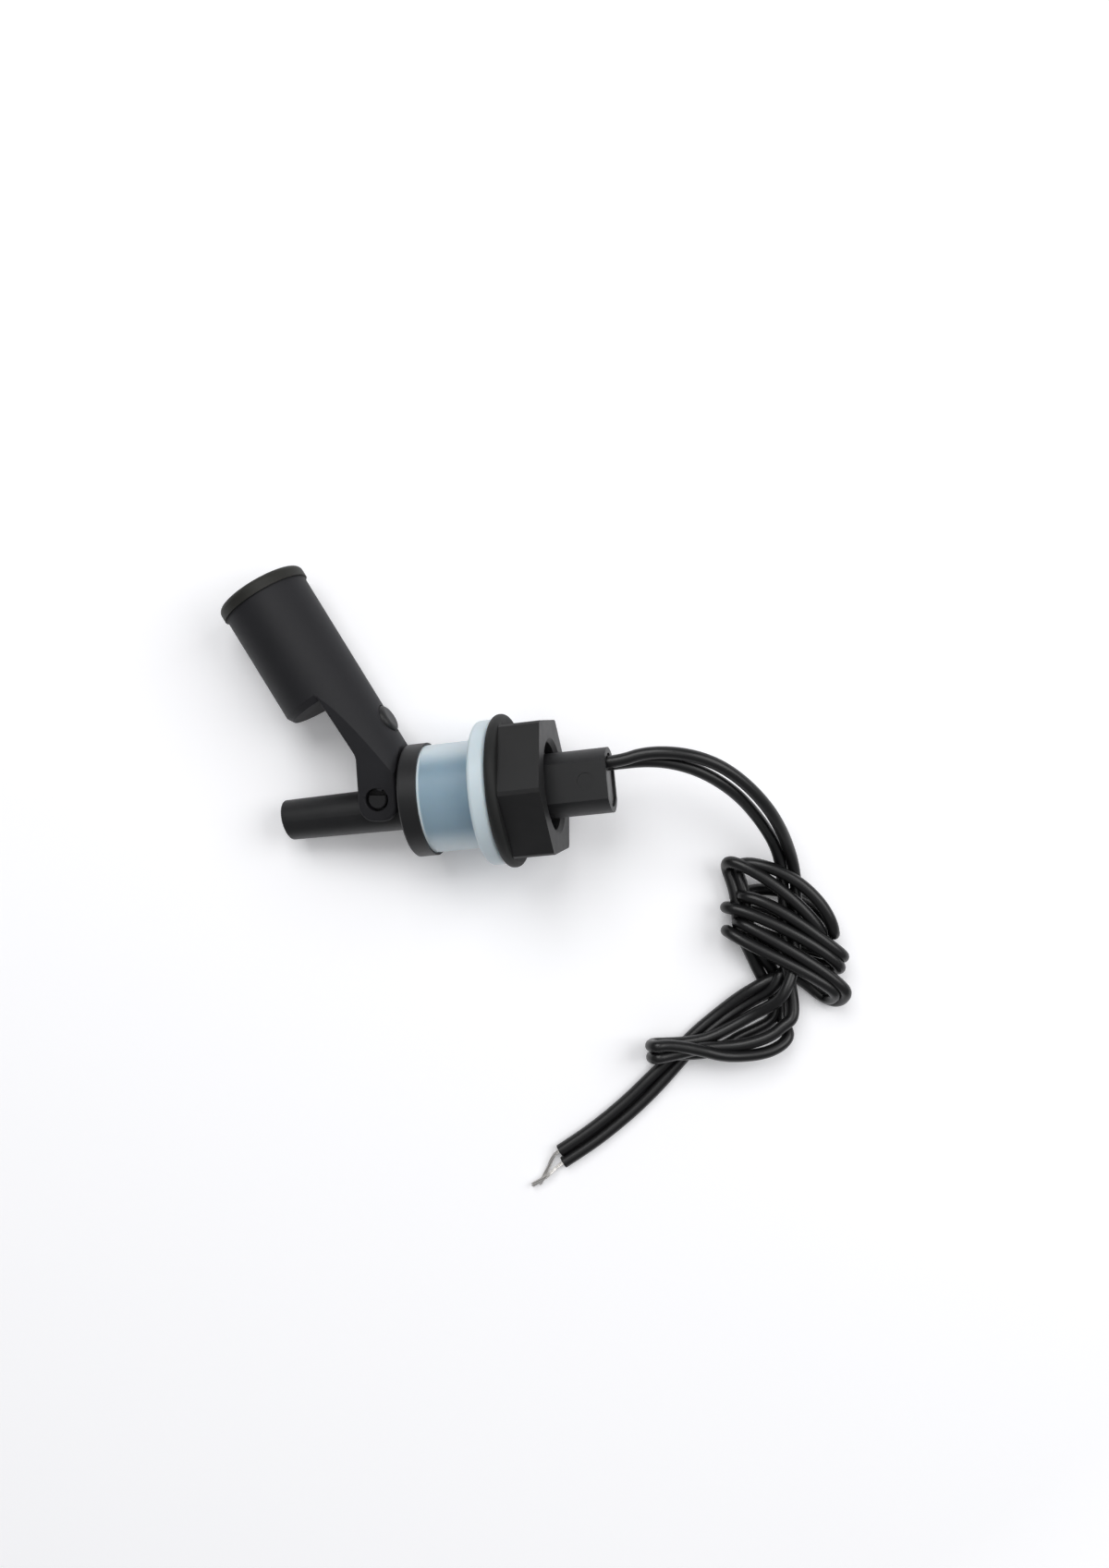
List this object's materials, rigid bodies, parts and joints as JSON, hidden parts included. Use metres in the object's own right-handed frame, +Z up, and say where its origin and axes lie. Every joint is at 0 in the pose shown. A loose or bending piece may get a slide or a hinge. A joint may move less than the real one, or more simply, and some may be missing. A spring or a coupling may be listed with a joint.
{
  "type": "float level switch",
  "caption": "Side-mounted level switch: a hinged float arm on a threaded stem with grommet, washer, hex nut and wire leads.",
  "frame": {"origin": "on the surface it lies on, under the middle of the rigid switch's box, leads left out", "axes": "+Z up from that surface, +X along the stem in plan from the pivot towards the leads, +Y towards the raised float"},
  "size_m": [0.1114, 0.1223, 0.0289],
  "materials": {
    "black_plastic": "satin",
    "cap_plastic": "satin",
    "black_rubber": "satin",
    "clear_elastomer": "translucent",
    "epoxy": "glossy",
    "reed_glass": "clear",
    "reed_metal": "satin",
    "sleeve": "satin",
    "wire_insulation": "satin",
    "tinned_copper": "bright",
    "magnet_metal": "satin"
  },
  "bodies": {
    "stem": {"stem_housing": "black_plastic", "grommet": "clear_elastomer", "clamp_washer": "black_rubber", "lock_nut": "black_plastic", "potting_plug": "epoxy", "reed_glass": "reed_glass", "reed_blade_front": "reed_metal", "reed_blade_rear": "reed_metal", "wire_sleeve_a": "sleeve", "wire_sleeve_b": "sleeve", "inner_wire_a": "wire_insulation", "inner_wire_b": "wire_insulation", "lead_a_run": "wire_insulation", "lead_b_run": "wire_insulation", "lead_hank": "wire_insulation", "lead_loop": "wire_insulation", "lead_a_tail": "wire_insulation", "lead_b_tail": "wire_insulation", "lead_tip_a": "tinned_copper", "lead_tip_b": "tinned_copper"},
    "float": {"float_arm": "black_plastic", "float_cap": "cap_plastic", "magnet": "magnet_metal", "magnet_cover": "black_plastic"}
  },
  "joints": [
    {"name": "float_pivot", "type": "hinge", "parent": "stem", "child": "float", "pos_m": [-0.00771, -0.01446, 0.00923], "axis": [-0.2024, -0.0825, 0.9758], "range_deg": [0, 64.88]}
  ]
}
